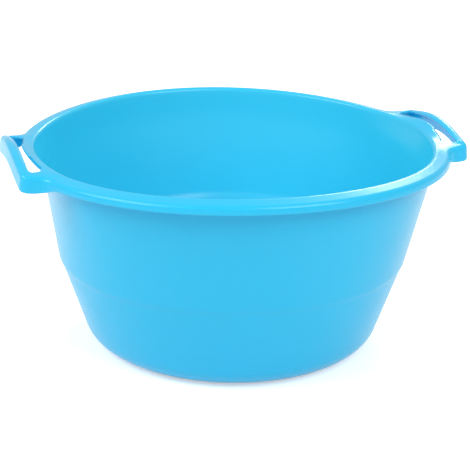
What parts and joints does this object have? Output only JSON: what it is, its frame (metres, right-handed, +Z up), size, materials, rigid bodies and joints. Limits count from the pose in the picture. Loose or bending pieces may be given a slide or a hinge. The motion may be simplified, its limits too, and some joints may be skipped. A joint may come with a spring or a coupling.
{
  "type": "round basin",
  "caption": "Round tapered plastic washing-up basin with a rolled rim and a slotted lug handle on each side.",
  "frame": {"origin": "middle of the foot ring on the surface that the basin stands on", "axes": "+X through the middle of one lug handle, +Z up through the open mouth"},
  "size_m": [0.4438, 0.4214, 0.2112],
  "materials": {
    "sky_blue_plastic": "glossy moulded polypropylene, faintly translucent, even sky blue"
  },
  "bodies": {
    "root": {"basin": "sky_blue_plastic"}
  },
  "joints": []
}
